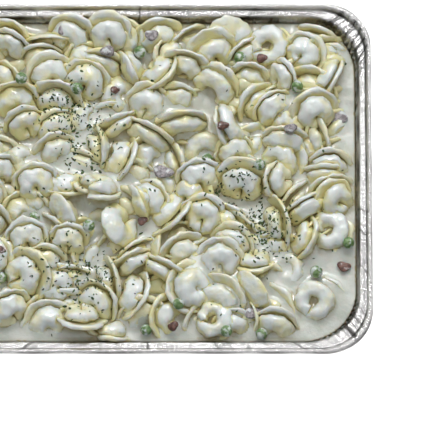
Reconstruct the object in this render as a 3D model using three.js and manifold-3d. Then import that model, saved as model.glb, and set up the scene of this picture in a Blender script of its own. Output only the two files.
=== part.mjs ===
// Foil tray of tortellini in cream sauce, with peas, mushroom and ham on top.
// Millimetres, +Z up, X along the tray's long side, origin under the middle of the tray.
import * as THREE from 'three';
import { LoftGeometry } from 'three/addons/geometries/LoftGeometry.js';
import { mergeVertices } from 'three/addons/utils/BufferGeometryUtils.js';
import Module from 'manifold-3d';

const wasm = await Module();
wasm.setup();

// ---- Driving dimensions ---------------------------------------------------

const TRAY_LONG = 324;
const TRAY_SHORT = 264;
const TRAY_HEIGHT = 65;
const FOIL = 0.8;
const BEAD = 4;
const LEDGE_Z = 61.6;
const CORNER_STEPS = 5;

const GAP = 0.3;
const SHORTEST_EDGE = 0.8;
const SAUCE_LEVEL = 54;
const SAUCE_BOTTOM = 6;
const SHELF_Z = 42;

const RING_SPAN = 172;
const HALF_DOUGH = 1.6;
const RING_STATIONS = 6;
const UNDER_STATIONS = 5;
// Corners of a cross-section: share of the way from the belly's foot to the brim's tip, and
// how far to the outer (above 0) or inner side of the middle line.
const SECTION = [[0, 0], [0.42, -0.85], [0.7, -0.85], [1, 0], [0.66, 1.15], [0.27, 1.15]];
const UNDER_SECTION = [[0, 0], [0.4, -0.9], [1, 0], [0.35, 1.1]];
const TOP_HEIGHT = 69;
const UNDER_HEIGHT = 58;
const UNDER_CLEARANCE = 20.5;
const UNDER_SPACING = 26;
const SCATTER_TRIES = 4000;
const PASTA_SPACING = 25.5;
const PASTA_SINK = 3;
const SETTLE_ROUNDS = 60;
const SETTLE_SLACK = 0.4;

// Height and depth from the outer edge of points up the inner face of the foil.
const WALL = [[4.5, 24.5], [32.4, 17.2], [60.2, 9.8], [61.6, 8.8]];
const WALL_CORNER = 36;
const WALL_GAP = 0.6;

const PEA_RADIUS = 4.6;
const SLICE_THICKNESS = 2.6;

// ---- Small helpers --------------------------------------------------------

const radians = THREE.MathUtils.degToRad;
const smoothstep = THREE.MathUtils.smoothstep;

// Repeatable draw between 0 and 1.
function draw(n) {
  const value = Math.sin(n * 127.1 + 311.7) * 43758.5453;
  return value - Math.floor(value);
}

function weld(geometry, tolerance) {
  const bare = new THREE.BufferGeometry();
  bare.setAttribute('position', geometry.getAttribute('position'));
  bare.setIndex(geometry.getIndex());
  return mergeVertices(bare, tolerance);
}

function solidFrom(geometry) {
  const welded = weld(geometry, 1e-4);
  return new wasm.Manifold(new wasm.Mesh({
    numProp: 3,
    vertProperties: new Float32Array(welded.getAttribute('position').array),
    triVerts: new Uint32Array(welded.getIndex().array),
  }));
}

function loft(sections) {
  return solidFrom(new LoftGeometry(sections, { capStart: true, capEnd: true }));
}

function joinAll(solids) {
  return solids.reduce((joined, solid) => joined.add(solid));
}

// ---- Foil tray ------------------------------------------------------------

// Rounded rectangle, drawn in from the tray's outer edge by `inset`.
function trayRing([inset, z, corner]) {
  const points = [];
  for (let quarter = 0; quarter < 4; quarter++) {
    const sideX = quarter === 0 || quarter === 3 ? 1 : -1;
    const sideY = quarter < 2 ? 1 : -1;
    for (let step = 0; step <= CORNER_STEPS; step++) {
      const angle = (quarter + step / CORNER_STEPS) * Math.PI / 2;
      points.push(new THREE.Vector3(
        sideX * (TRAY_LONG / 2 - inset - corner) + corner * Math.cos(angle),
        sideY * (TRAY_SHORT / 2 - inset - corner) + corner * Math.sin(angle),
        z,
      ));
    }
  }
  return points;
}

// Room inside the tray, drawn in from the foil by `gap`, as inset, height, corner radius.
function roomProfile(gap) {
  return [
    [30.5 + gap, FOIL + gap, 25],
    [26.4 + gap, FOIL + gap + 1.1, 28],
    [24.5 + gap, 4.5 + gap, 30],
    [17.2 + gap, 32.4, 34],
    [9.8 + gap, 60.2 + gap / 2, 38],
    [8.8 + gap, LEDGE_Z - 0.4 + gap, 38],
    [4.4 + gap, LEDGE_Z + gap, 34],
    [3.9 + gap, 63.2, 34],
    [2.9 + gap, 64.5, 33.5],
    [2.6 + gap, 120, 33.5],
  ];
}

function outerProfile() {
  return [
    [30.5, 0, 25],
    [25.8, 1, 28],
    [23.7, 4.2, 30],
    [16.4, 32.2, 34],
    [9.2, 59.6, 38],
    [8.4, LEDGE_Z - FOIL - 0.3, 38],
    [BEAD, LEDGE_Z - FOIL, 34],
    [1.4, TRAY_HEIGHT - BEAD, 33.5],
    [0.2, 62.1, 33],
    [0, 63, 33],
    [0.3, 64, 33],
    [1.3, TRAY_HEIGHT - 0.2, 33],
    [2, TRAY_HEIGHT, 33],
  ];
}

function foilTray() {
  const outside = loft(outerProfile().map(trayRing));
  return outside.subtract(loft(roomProfile(0).map(trayRing)));
}

// ---- One tortellino -------------------------------------------------------
// Filled dough bent into a ring: a round belly with a brim that flares from it like a hat's.

// A hat has a small ring and a wide brim, and a plain ring the other way round.
function pastaForm(seed, isRing) {
  const grow = 1.06 + 0.2 * draw(seed);
  return {
    ring: (isRing ? 8 : 5.2) * grow,
    belly: (isRing ? 5.2 : 6.1) * grow,
    brim: (isRing ? 6.5 : 8.8 + 3.4 * draw(seed + 0.23)) * grow,
    curl: radians((isRing ? 76 : 100) + 40 * draw(seed + 0.31)),
    bend: 4.3,
    wave: 0.6 + 2 * draw(seed + 0.57),
    phase: 6.28 * draw(seed + 0.83),
  };
}

// Belly and brim are full at the front (u = 0) and small at the pinched ends (u = -1 and 1).
function fullness(form, u) {
  const front = Math.max(0, Math.cos(Math.PI * u / 2));
  return {
    belly: 3.2 + (form.belly - 3.2) * front ** 0.7,
    brim: 1 + (form.brim - 1) * front ** 0.6,
    ring: form.ring * (0.72 + 0.28 * front),
  };
}

// Middle line of the cross-section: up through the belly, round a bend, then out along the brim.
function brimLine(form, belly, along) {
  const straight = 1.35 * belly;
  const angle = Math.min(form.curl, Math.max(0, along - straight) / form.bend);
  const past = Math.max(0, along - straight - angle * form.bend);
  return {
    out: form.bend * (1 - Math.cos(angle)) + past * Math.sin(angle),
    up: Math.min(along, straight) - belly + form.bend * Math.sin(angle) + past * Math.cos(angle),
    angle,
  };
}

function halfThickness(belly, length, along) {
  const round = Math.sqrt(Math.max(0, belly ** 2 - (along - belly) ** 2));
  if (along <= belly) {
    return round;
  }
  const tip = Math.max(0, along - length + HALF_DOUGH) / HALF_DOUGH;
  return Math.cbrt(round ** 3 + HALF_DOUGH ** 3) * Math.sqrt(Math.max(0, 1 - tip ** 2));
}

// Point of the skin: u runs around the ring, share from the belly's foot to the brim's tip.
function skinPoint(form, u, share, side) {
  const { belly, brim, ring } = fullness(form, u);
  const length = 2 * belly + brim;
  const line = brimLine(form, belly, share * length);
  const half = side * halfThickness(belly, length, share * length);
  const pinch = smoothstep(Math.abs(u), 0.7, 1);
  const slip = pinch * (u > 0 ? 1.4 : -0.6);
  const lift = pinch * (u > 0 ? 1.2 : -1.2);
  const sway = form.wave * share ** 2 * Math.sin(4 * u + form.phase);
  const reach = ring + slip + line.out + half * Math.cos(line.angle);
  const angle = radians(u * RING_SPAN);
  return new THREE.Vector3(
    reach * Math.cos(angle),
    reach * Math.sin(angle),
    line.up - half * Math.sin(line.angle) + lift + sway,
  );
}

function tortellino(piece) {
  const stations = piece.isUnder ? UNDER_STATIONS : RING_STATIONS;
  const corners = piece.isUnder ? UNDER_SECTION : SECTION;
  const sections = [];
  for (let i = 0; i <= stations; i++) {
    const u = 2 * i / stations - 1;
    sections.push(corners.map(([share, side]) => (
      skinPoint(piece.form, u, share, side).applyMatrix4(piece.pose))));
  }
  return loft(sections);
}

// ---- Where the tortellini lie ---------------------------------------------
// Each row gives x, y, then the turn in degrees (the way the ring's front points, the lean
// and the spin) and 1 for a plain ring.

const CLUSTER = [
  [0, 0, 80, 132, 180, 0],
  [-4, 22, 115, 145, 180, 0],
  [-2, 49, 92, 102, 180, 0],
  [25, 56, 125, 125, 180, 0],
  [46, 56, 65, 155, 180, 0],
  [31, 32, 80, 105, 190, 1],
  [51, 34, 200, 95, 90, 0],
  [69, 26, -40, 128, 180, 0],
  [90, 30, 75, 120, 180, 0],
  [-30, 1, 100, 140, 180, 0],
  [86, 4, 95, 122, 180, 0],
  [90, -16, 100, 100, 200, 1],
  [-22, -15, 112, 128, 180, 0],
  [47, -15, 120, 96, 160, 1],
  [66, -22, 60, 95, 200, 1],
  [26, -29, 10, 110, 150, 0],
  [43, -38, -20, 128, 180, 0],
  [-40, -52, 120, 130, 180, 0],
  [-14, -60, 95, 150, 180, 0],
  [8, -54, -90, 134, 180, 0],
  [6, -80, 215, 75, 180, 0],
  [27, -62, 250, 120, 20, 0],
];

const CLUSTER_PLACES = [[-64, 55], [68.5, -4.5], [-54, -48]];

// Sauce with no pasta just under it, from each cluster's place, and how wide that is.
const BARE = { x: 12, y: -22, reach: 13 };

const LONE = [
  [60, 107, -80, 30, 180, 0],
  [87, 107, 20, 168, 180, 1],
  [74, 75, 80, 128, 180, 0],
  [97, 77, 30, 118, 150, 0],
  [113, 97, 60, 158, 200, 0],
  [128, 81, -30, 110, 150, 1],
  [42, 82, 100, 130, 180, 0],
  [22, 86, 140, 135, 180, 0],
  [-99, 100, 60, 110, 160, 0],
  [127, -1, 90, 96, 180, 1],
  [143, -11, 105, 135, 180, 0],
  [122, 30, 20, 100, 130, 0],
  [63, 43, 200, 120, 90, 1],
  [48, -106, 5, 174, 180, 1],
  [137, -37, 5, 172, 180, 1],
];

// Pieces that stand in the open sauce, with the height of their tops at the end.
const POOL_PIECES = [
  [120, -89, 60, 166, 180, 1, 59.5],
  [101, -66, 20, 168, 180, 1, 57],
  [140, -99, 60, 150, 180, 0, 60],
];

// The open sauce, as centre, half sizes and turn of an oval.
const POOL = { x: 117, y: -88, halfX: 34, halfY: 38, turn: -12 };

function inPool(x, y, grow) {
  const turn = radians(POOL.turn);
  const alongX = (x - POOL.x) * Math.cos(turn) + (y - POOL.y) * Math.sin(turn);
  const alongY = (y - POOL.y) * Math.cos(turn) - (x - POOL.x) * Math.sin(turn);
  return (alongX / (POOL.halfX + grow)) ** 2 + (alongY / (POOL.halfY + grow)) ** 2 < 1;
}

function isBare(x, y) {
  return CLUSTER_PLACES.some(([atX, atY]) => Math.hypot(x - atX - BARE.x, y - atY - BARE.y) < BARE.reach);
}

function clearOf(pieces, x, y, distance) {
  return pieces.every((other) => Math.hypot(other.x - x, other.y - y) >= distance);
}

function placeable(x, y) {
  return Math.abs(x) <= TRAY_LONG / 2 - 16 && Math.abs(y) <= TRAY_SHORT / 2 - 16
    && Math.hypot(Math.max(0, Math.abs(x) - 124), Math.max(0, Math.abs(y) - 94)) <= 28;
}

function newPiece([x, y, toward, lean, spin, isRing], seed, top) {
  return { x, y, toward, lean, spin, top, form: pastaForm(seed, isRing) };
}

// Height of a piece's top: uneven in the middle and lower towards the foil.
function topHeight(x, y, seed) {
  const edge = Math.max(Math.abs(x) / (TRAY_LONG / 2), Math.abs(y) / (TRAY_SHORT / 2));
  return TOP_HEIGHT + 7 * (draw(seed + 0.17) - 0.5) - 8 * smoothstep(edge, 0.76, 0.9);
}

function addRows(pieces, rows, shift, spacing) {
  for (const [x, y, ...turn] of rows) {
    const [atX, atY] = [x + shift[0], y + shift[1]];
    const seed = pieces.length + 1;
    if (placeable(atX, atY) && !inPool(atX, atY, 0) && clearOf(pieces, atX, atY, spacing)) {
      pieces.push(newPiece([atX, atY, ...turn], seed, topHeight(atX, atY, seed)));
    }
  }
}

// Most pieces lie belly up; a few show the hollow side of the brim.
function randomTurn(seed) {
  const lean = draw(seed + 0.63) < 0.93 ? 95 + 70 * draw(seed + 0.71) : 15 + 40 * draw(seed + 0.71);
  const isRing = draw(seed + 0.91) < 0.16 ? 1 : 0;
  return [10 + 160 * draw(seed + 0.41), lean, 180 + 60 * (draw(seed + 0.77) - 0.5), isRing];
}

// Calls `place` with scattered points all over the food.
function scatter(base, place) {
  for (let n = 0; n < SCATTER_TRIES; n++) {
    const x = (draw(base + n) - 0.5) * TRAY_LONG;
    const y = (draw(base + n + 0.5) - 0.5) * TRAY_SHORT;
    if (placeable(x, y) && !inPool(x, y, 4) && !isBare(x, y)) {
      place(x, y);
    }
  }
}

// Fills the rest of the top layer wherever a piece still has room.
function addScattered(pieces) {
  scatter(1000, (x, y) => {
    if (clearOf(pieces, x, y, PASTA_SPACING)) {
      const seed = 1000 + pieces.length;
      pieces.push(newPiece([x, y, ...randomTurn(seed)], seed, topHeight(x, y, seed)));
    }
  });
}

// Lower pieces that show between those of the top layer.
function addUnder(pieces) {
  const under = [];
  scatter(7000, (x, y) => {
    if (clearOf(pieces, x, y, UNDER_CLEARANCE) && clearOf(under, x, y, UNDER_SPACING)) {
      const seed = 7000 + under.length;
      const piece = newPiece([x, y, ...randomTurn(seed)], seed, UNDER_HEIGHT + 3 * draw(seed));
      under.push({ ...piece, isUnder: true });
    }
  });
  pieces.push(...under);
}

// Balls that stand in for one piece while the heap settles.
function pieceBalls(piece) {
  const balls = [];
  for (const u of [-0.8, -0.4, 0, 0.4, 0.8]) {
    const { belly, ring } = fullness(piece.form, u);
    const angle = radians(u * RING_SPAN);
    balls.push([ring * Math.cos(angle), ring * Math.sin(angle), 0, 0.95 * belly]);
  }
  for (const u of [-0.4, 0, 0.4]) {
    const { belly, brim, ring } = fullness(piece.form, u);
    const line = brimLine(piece.form, belly, 2 * belly + 0.8 * brim);
    const angle = radians(u * RING_SPAN);
    const reach = ring + line.out;
    balls.push([reach * Math.cos(angle), reach * Math.sin(angle), line.up, 2]);
  }
  return balls.map(([x, y, z, radius]) => {
    return { centre: new THREE.Vector3(x, y, z).applyMatrix4(piece.turn), radius };
  });
}

function turnMatrix({ toward, lean, spin }) {
  return new THREE.Matrix4().makeRotationZ(radians(toward))
    .multiply(new THREE.Matrix4().makeRotationY(radians(lean)))
    .multiply(new THREE.Matrix4().makeRotationZ(radians(spin)));
}

function deepestOverlap(one, two) {
  let deepest = null;
  for (const a of one.balls) {
    for (const b of two.balls) {
      const apart = new THREE.Vector3().addVectors(a.centre, one.at).sub(b.centre).sub(two.at);
      const depth = a.radius + b.radius - SETTLE_SLACK - apart.length();
      if (depth > 0 && (deepest === null || depth > deepest.depth)) {
        deepest = { depth, apart };
      }
    }
  }
  return deepest;
}

// Depth of the inner face of the foil from the tray's outer edge, at height z.
function wallInset(z) {
  const next = WALL.findIndex(([height]) => height >= z);
  if (next <= 0) {
    return next === 0 ? WALL[0][1] : WALL.at(-1)[1];
  }
  const [low, high] = [WALL[next - 1], WALL[next]];
  return THREE.MathUtils.mapLinear(z, low[0], high[0], low[1], high[1]);
}

// How far a ball of a piece is past the clear room inside the foil, and the way out.
function pastWall({ centre, radius }, at) {
  const place = centre.clone().add(at);
  const edge = wallInset(place.z) + radius + WALL_GAP + WALL_CORNER;
  const pastX = Math.abs(place.x) - TRAY_LONG / 2 + edge;
  const pastY = Math.abs(place.y) - TRAY_SHORT / 2 + edge;
  const inCorner = pastX > 0 && pastY > 0;
  const distance = (inCorner ? Math.hypot(pastX, pastY) : Math.max(pastX, pastY)) - WALL_CORNER;
  const wayX = inCorner ? pastX : Number(pastX > pastY);
  const wayY = inCorner ? pastY : Number(pastX <= pastY);
  const way = new THREE.Vector3(Math.sign(place.x) * wayX, Math.sign(place.y) * wayY, 0).normalize();
  return { distance, way };
}

// Moves a piece in until its deepest ball is clear of the sloping foil.
function keepOffTheWall(piece) {
  const past = piece.balls.map((ball) => pastWall(ball, piece.at));
  const deepest = past.reduce((one, two) => (two.distance > one.distance ? two : one));
  if (deepest.distance > 0) {
    piece.at.addScaledVector(deepest.way, -deepest.distance);
  }
}

// Neighbours push each other apart while each is drawn back to its own place.
function settle(pieces) {
  for (const piece of pieces) {
    piece.turn = turnMatrix(piece);
    piece.balls = pieceBalls(piece);
    const above = Math.max(...piece.balls.map((ball) => ball.centre.z + ball.radius));
    const below = Math.min(...piece.balls.map((ball) => ball.centre.z - ball.radius));
    const height = Math.min(piece.top - above, SAUCE_LEVEL - PASTA_SINK - below);
    piece.home = new THREE.Vector3(piece.x, piece.y, height);
    piece.at = piece.home.clone();
  }
  for (let round = 0; round < SETTLE_ROUNDS; round++) {
    for (let i = 0; i < pieces.length; i++) {
      for (let j = 0; j < i; j++) {
        const near = Math.hypot(pieces[i].at.x - pieces[j].at.x, pieces[i].at.y - pieces[j].at.y) < 36;
        const overlap = near ? deepestOverlap(pieces[i], pieces[j]) : null;
        if (overlap) {
          const push = overlap.apart.normalize().multiplyScalar(0.3 * overlap.depth);
          pieces[i].at.add(push);
          pieces[j].at.sub(push);
        }
      }
    }
    for (const piece of pieces) {
      piece.at.lerp(piece.home, 0.08);
      keepOffTheWall(piece);
    }
  }
  for (const piece of pieces) {
    piece.pose = piece.turn.clone().setPosition(piece.at);
  }
}

function layPasta() {
  const pieces = POOL_PIECES.map((row, i) => newPiece(row, 900 + i, row[6]));
  addRows(pieces, CLUSTER, CLUSTER_PLACES[0], 17);
  addRows(pieces, LONE, [0, 0], 17);
  addRows(pieces, CLUSTER, CLUSTER_PLACES[1], 18);
  addRows(pieces, CLUSTER, CLUSTER_PLACES[2], 18);
  addScattered(pieces);
  addUnder(pieces);
  settle(pieces);
  return pieces;
}

// ---- Heap core and sauce --------------------------------------------------

function boxBetween(low, high) {
  const size = new THREE.Vector3().subVectors(high, low);
  const middle = new THREE.Vector3().addVectors(high, low).multiplyScalar(0.5);
  const box = new THREE.BoxGeometry(size.x, size.y, size.z);
  return solidFrom(box.translate(middle.x, middle.y, middle.z));
}

// The tray's room up to a level, drawn in by `inset`.
function fillTo(level, inset, bottom) {
  const low = new THREE.Vector3(-TRAY_LONG, -TRAY_SHORT, bottom);
  const high = new THREE.Vector3(TRAY_LONG, TRAY_SHORT, level);
  return loft(roomProfile(inset).map(trayRing)).intersect(boxBetween(low, high));
}

function poolPrism(bottom, shrink) {
  const oval = [];
  for (let step = 0; step < 20; step++) {
    const angle = step / 20 * 2 * Math.PI;
    const wobble = 1 + 0.1 * Math.sin(3 * angle + 1) + 0.05 * Math.sin(5 * angle);
    oval.push(new THREE.Vector2(
      (POOL.halfX * wobble - shrink) * Math.cos(angle),
      (POOL.halfY * wobble - shrink) * Math.sin(angle),
    ).rotateAround(new THREE.Vector2(), radians(POOL.turn)));
  }
  const prism = new THREE.ExtrudeGeometry(new THREE.Shape(oval), { depth: 60, bevelEnabled: false });
  return solidFrom(prism.translate(POOL.x, POOL.y, bottom));
}

// Packed pasta under the pieces that show: open sauce is left out down to a shelf,
// with a stub up to the surface under each piece that stands in it.
function heapCore(top, grow) {
  const whole = fillTo(top + grow, 5 - grow, SAUCE_BOTTOM - grow);
  const height = top - SHELF_Z + 2 + 2 * grow;
  const stubs = POOL_PIECES.map(([x, y]) => {
    const stub = new THREE.CylinderGeometry(9 + grow, 9 + grow, height, 10).rotateX(Math.PI / 2);
    return solidFrom(stub.translate(x, y, top + grow - height / 2));
  });
  return whole.subtract(poolPrism(SHELF_Z + grow, grow)).add(joinAll(stubs).intersect(whole));
}

function creamSauce() {
  return fillTo(SAUCE_LEVEL, GAP, 0).subtract(heapCore(SAUCE_LEVEL, GAP));
}

// ---- Toppings -------------------------------------------------------------
// Each lies where it comes to rest when it is lifted clear of what is under it.

const PEAS = [
  [-89, 72], [-49, 65], [-4, 96], [68, 92], [109, 68], [-79, -29], [-40, -37], [-102, -74],
  [44, 15], [82, 7], [145, -48], [122, -70], [24, -95], [1, -113], [58, -116], [83, -116],
  [-128, 38], [-135, -20], [-122, -92],
];

// Slices also have a reach from the middle to the corners.
const MUSHROOM = [
  [-59, 110, 5], [-28, 93, 5], [4, 107, 6], [14, 5, 7.5], [139, 48, 6.5], [104, 34, 4.5], [77, -101, 5.5],
  [91, -100, 4.5], [-130, 70, 6],
];

const HAM = [
  [-78, 95, 4.2], [-22, 67, 4], [84, 91, 4.2], [114, 13, 4], [55, 36, 4], [-2, -32, 4.2], [141, -65, 4.8],
  [20, -111, 4.6], [-102, -56, 4.2], [-140, -48, 4],
];

function surfaceBelow(meshes, x, y) {
  const ray = new THREE.Raycaster(new THREE.Vector3(x, y, 200), new THREE.Vector3(0, 0, -1));
  const hit = ray.intersectObjects(meshes)[0];
  return { height: hit.point.z, normal: hit.face.normal };
}

function peaShape(index, grow) {
  const radius = PEA_RADIUS * (0.92 + 0.16 * draw(index + 40));
  return new THREE.SphereGeometry(radius + grow, 7, 5).rotateX(Math.PI / 2);
}

// A small slice with four or five uneven sides.
function sliceShape(index, grow, middleReach) {
  const sides = draw(index + 70) < 0.5 ? 4 : 5;
  const outline = [];
  for (let k = 0; k < sides; k++) {
    const angle = 6.28 * draw(index + 75) + k / sides * 2 * Math.PI;
    const reach = middleReach * (0.75 + 0.5 * draw(index * 5 + k)) + 1.4 * grow;
    outline.push(new THREE.Vector2(reach * Math.cos(angle), 0.8 * reach * Math.sin(angle)));
  }
  const depth = SLICE_THICKNESS + 2 * grow;
  const plate = new THREE.ExtrudeGeometry(new THREE.Shape(outline), { depth, bevelEnabled: false });
  return plate.translate(0, 0, -depth / 2);
}

// Lies along the surface at x, y and is raised in small steps until it clears everything.
function restOn(meshes, solids, shape, [x, y, reach], index) {
  const { height, normal } = surfaceBelow(meshes, x, y);
  const up = normal.clone().lerp(new THREE.Vector3(0, 0, 1), 0.5).normalize();
  const turn = new THREE.Quaternion().setFromUnitVectors(new THREE.Vector3(0, 0, 1), up);
  const placed = (grow, z) => (
    solidFrom(shape(index, grow, reach).applyQuaternion(turn).translate(x, y, z)));
  let z = height - 1;
  while (solids.some((solid) => !placed(GAP, z).intersect(solid).isEmpty())) {
    z += 0.4;
  }
  return placed(0, z);
}

// ---- Assembly -------------------------------------------------------------

// The triangles of the widest closed skin: that fills hidden voids and leaves out loose crumbs.
function widestSkin(triangles) {
  const owner = triangles.map((_, t) => t);
  const find = (t) => {
    while (owner[t] !== t) {
      owner[t] = owner[owner[t]];
      t = owner[t];
    }
    return t;
  };
  const besideEdge = new Map();
  triangles.forEach((corners, t) => corners.forEach((v, k) => {
    const edge = [v, corners[(k + 1) % 3]].sort((one, two) => one - two).join();
    owner[find(besideEdge.get(edge) ?? t)] = find(t);
    besideEdge.set(edge, t);
  }));
  const counts = new Map();
  triangles.forEach((_, t) => counts.set(find(t), (counts.get(find(t)) ?? 0) + 1));
  const widest = [...counts].sort((one, two) => two[1] - one[1])[0][0];
  return triangles.filter((_, t) => find(t) === widest);
}

// A skin to be worked on: its triangles, the triangles around each point, and the points.
function skinOf(triangles, pointAt) {
  const around = new Map();
  triangles.forEach((corners, t) => corners.forEach((v) => (
    around.has(v) ? around.get(v).add(t) : around.set(v, new Set([t])))));
  return { triangles, around, pointAt };
}

function pointsNear(skin, v) {
  return new Set([...skin.around.get(v)].flatMap((t) => skin.triangles[t]));
}

function faceNormal(skin, corners) {
  const [a, b, c] = corners.map(skin.pointAt);
  return b.sub(a).cross(c.sub(a));
}

// True if the skin stays closed, with no face turned over, when `gone` moves onto `kept`.
function mayJoin(skin, kept, gone) {
  const near = pointsNear(skin, gone);
  const shared = [...pointsNear(skin, kept)].filter((v) => near.has(v));
  return shared.length === 4 && [...skin.around.get(gone)].every((t) => {
    const corners = skin.triangles[t];
    const moved = corners.map((v) => (v === gone ? kept : v));
    return corners.includes(kept) || faceNormal(skin, corners).dot(faceNormal(skin, moved)) > 0;
  });
}

function joinEnds({ triangles, around }, kept, gone) {
  for (const t of around.get(gone)) {
    if (triangles[t].includes(kept)) {
      triangles[t].filter((v) => v !== gone).forEach((v) => around.get(v).delete(t));
      triangles[t] = [];
    } else {
      triangles[t] = triangles[t].map((v) => (v === gone ? kept : v));
      around.get(kept).add(t);
    }
  }
  around.delete(gone);
}

// Points of the core around the open sauce stay where they are.
function isShore({ x, y, z }) {
  return z < SAUCE_LEVEL + GAP / 2 && inPool(x, y, 8);
}

// Draws the two ends of each very short edge together, where the skin allows it.
function closeShortEdges(skin) {
  for (let t = 0; t < skin.triangles.length; t++) {
    for (let k = 0; k < skin.triangles[t].length; k++) {
      const [kept, gone] = [skin.triangles[t][k], skin.triangles[t][(k + 1) % 3]];
      const length = skin.pointAt(kept).distanceTo(skin.pointAt(gone));
      if (length < SHORTEST_EDGE && !isShore(skin.pointAt(gone)) && mayJoin(skin, kept, gone)) {
        joinEnds(skin, kept, gone);
        break;
      }
    }
  }
  return skin.triangles.filter((corners) => corners.length > 0);
}

function oneBody(solid) {
  const geometry = weld(geometryOf(solid), 1e-3);
  const position = geometry.getAttribute('position');
  const index = geometry.getIndex().array;
  const pointAt = (v) => new THREE.Vector3().fromBufferAttribute(position, v);
  const triangles = [];
  for (let t = 0; t < index.length; t += 3) {
    triangles.push([...index.subarray(t, t + 3)]);
  }
  const whole = triangles.filter(([a, b, c]) => a !== b && b !== c && c !== a);
  geometry.setIndex(closeShortEdges(skinOf(widestSkin(whole), pointAt)).flat());
  return solidFrom(geometry);
}

function geometryOf(solid) {
  const { vertProperties, triVerts } = solid.getMesh();
  const geometry = new THREE.BufferGeometry();
  geometry.setAttribute('position', new THREE.BufferAttribute(new Float32Array(vertProperties), 3));
  geometry.setIndex(new THREE.BufferAttribute(new Uint32Array(triVerts), 1));
  geometry.computeVertexNormals();
  return geometry;
}

const group = new THREE.Group();

function addNode(name, solid, colour, roughness, metalness = 0) {
  const material = new THREE.MeshStandardMaterial({ color: colour, roughness, metalness });
  material.name = name;
  const mesh = new THREE.Mesh(geometryOf(solid), material);
  mesh.name = name;
  group.add(mesh);
  return mesh;
}

const pieces = layPasta();
const foodRoom = loft(roomProfile(0.4).map(trayRing));
const openSauce = boxBetween(
  new THREE.Vector3(-TRAY_LONG, -TRAY_SHORT, -1),
  new THREE.Vector3(TRAY_LONG, TRAY_SHORT, SAUCE_LEVEL + GAP),
).subtract(heapCore(SAUCE_LEVEL + 5, 0));
const shown = joinAll(pieces.map(tortellino)).intersect(foodRoom).subtract(openSauce);

const tray = foilTray();
const sauce = creamSauce();
const heap = oneBody(heapCore(SAUCE_LEVEL, 0).add(shown));
const dish = [
  addNode('foil_tray', tray, 0xb9bcc0, 0.35, 0.9),
  addNode('cream_sauce', sauce, 0xe6e4da, 0.35),
  addNode('tortellini_heap', heap, 0xe2d9b0, 0.5),
];

function addToppings(name, places, shape, colour) {
  places.forEach((place, i) => {
    const solid = restOn(dish, [tray, sauce, heap], shape, place, i + name.length);
    addNode(`${name}_${String(i + 1).padStart(2, '0')}`, solid, colour, 0.5);
  });
}

addToppings('pea', PEAS, peaShape, 0x7f9a63);
addToppings('mushroom', MUSHROOM, sliceShape, 0x8d838c);
addToppings('ham', HAM, sliceShape, 0x7d5a52);

export default group;
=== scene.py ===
import math

import bpy
import numpy as np
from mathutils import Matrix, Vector
from mathutils.bvhtree import BVHTree


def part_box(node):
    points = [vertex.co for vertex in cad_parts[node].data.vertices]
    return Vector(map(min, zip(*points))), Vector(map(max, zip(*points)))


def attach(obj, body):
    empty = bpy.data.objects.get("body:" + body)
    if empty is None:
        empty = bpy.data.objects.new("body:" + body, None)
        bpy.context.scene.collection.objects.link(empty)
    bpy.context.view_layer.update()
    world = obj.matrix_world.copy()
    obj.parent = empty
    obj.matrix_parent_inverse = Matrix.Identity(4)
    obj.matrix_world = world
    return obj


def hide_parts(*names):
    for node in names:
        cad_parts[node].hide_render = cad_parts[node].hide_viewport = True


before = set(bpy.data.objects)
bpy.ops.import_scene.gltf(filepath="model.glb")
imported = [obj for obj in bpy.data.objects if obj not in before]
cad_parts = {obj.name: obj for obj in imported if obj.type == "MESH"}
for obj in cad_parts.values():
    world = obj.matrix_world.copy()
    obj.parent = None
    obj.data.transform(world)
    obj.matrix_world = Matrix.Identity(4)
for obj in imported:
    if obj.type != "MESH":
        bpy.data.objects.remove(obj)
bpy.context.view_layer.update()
MM = 0.001

# ---- Driving dimensions, from the frame ------------------------------------


def node_box(node):
    low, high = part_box(node)
    return np.array(low) / MM, np.array(high) / MM


TRAY_LOW, TRAY_HIGH = node_box("foil_tray")
TRAY_LONG, TRAY_SHORT, TRAY_HEIGHT = TRAY_HIGH - TRAY_LOW
SAUCE_LEVEL = node_box("cream_sauce")[1][2]

FOIL = 0.8
BEAD = 4
LEDGE_Z = TRAY_HEIGHT - 3.4
FOIL_COLUMNS_PER_MM = 1.0
FOIL_CORNER = 35
SAUCE_GAP = 0.3

RING_SPAN = 185
HALF_DOUGH = 1.6
BEND = 4
BELLY_END = 3.8
WALL_HEIGHTS = (4.5, 32.4, 60.2, 61.6)
WALL_INSETS = (24.5, 17.2, 9.8, 8.8)
WALL_CORNER = 36
SETTLE_SPAN = 172
TOP_HEIGHT = 69
UNDER_HEIGHT = 58
UNDER_CLEARANCE = 20.5
UNDER_SPACING = 26
SCATTER_TRIES = 4000
ROW_SPACING = 17
REPEAT_SPACING = 18
PASTA_SPACING = 25.5
PASTA_SINK = 3
PASTA_MARGIN = 16
CORNER_X, CORNER_Y, CORNER_REACH = 124, 94, 28
SETTLE_ROUNDS = 60
SETTLE_SLACK = 0.4
SETTLE_REACH = 36
SETTLE_PUSH = 0.3
SETTLE_RETURN = 0.08
FILLER_HEIGHT = 60
FILLER_CLEARANCE = 9
FILLER_SPACING = 15
WALL_GAP = 0.6

TOP_SPREAD = 7
EDGE_DROP = 8
RING_SHARE = 0.16
BELLY_UP_SHARE = 0.93

# First draw of each kind of piece.
POOL_SEED = 900
SCATTER_SEED = 1000
UNDER_SEED = 7000
FILLER_SEED = 20000
HERB_SEED = 30000

# Stations around the ring and corners of the section, in the top layer and the lower one.
TOP_STATIONS, TOP_CORNERS = 36, 24
LOW_STATIONS, LOW_CORNERS = 28, 18

# One turn in radians, near enough for phases and ripples.
TURN = 6.28

SURFACE_STEP = 1.2
ABOVE_ALL = 200
LOWEST_SAUCE = 50.0
SHELTER_REACH = 15
SHELTER_DEEPEST = 46

# ---- Small helpers ----------------------------------------------------------


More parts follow.
